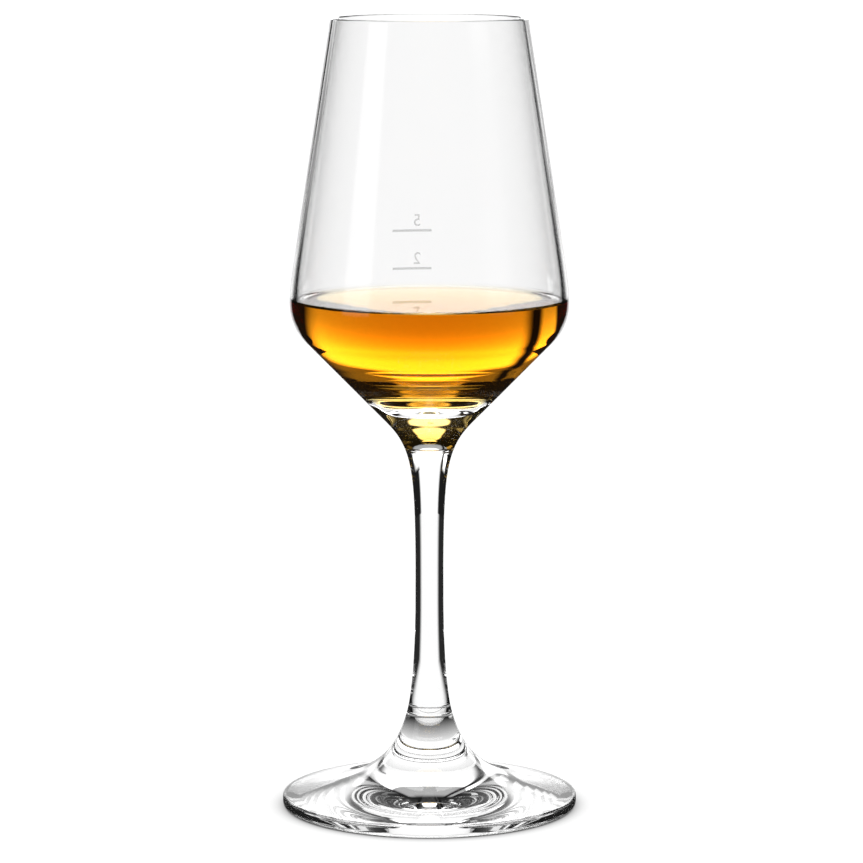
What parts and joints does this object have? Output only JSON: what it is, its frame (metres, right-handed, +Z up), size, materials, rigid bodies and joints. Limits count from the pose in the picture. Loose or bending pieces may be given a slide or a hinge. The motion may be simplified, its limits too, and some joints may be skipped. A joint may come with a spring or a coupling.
{
  "type": "whisky nosing glass",
  "caption": "Stemmed nosing glass with a tulip bowl, slender drawn stem and round foot, holding a measure of whisky, with enamel fill lines on the wall.",
  "frame": {"origin": "centre of the foot's resting plane, on the table, under the middle of the glass", "axes": "+Z up along the stem, the axis that the glass is turned about; -Y is the front that faces the camera, and the fill lines are on the back of the bowl at +Y"},
  "size_m": [0.058, 0.058, 0.155],
  "materials": {
    "glass": "clear, fire polished",
    "whisky": "clear amber liquid",
    "enamel": "fired on, satin"
  },
  "bodies": {
    "root": {"bowl": "glass", "stem": "glass", "foot": "glass", "whisky": "whisky", "fill_line_2cl": "enamel", "fill_line_5cl": "enamel"}
  },
  "joints": []
}
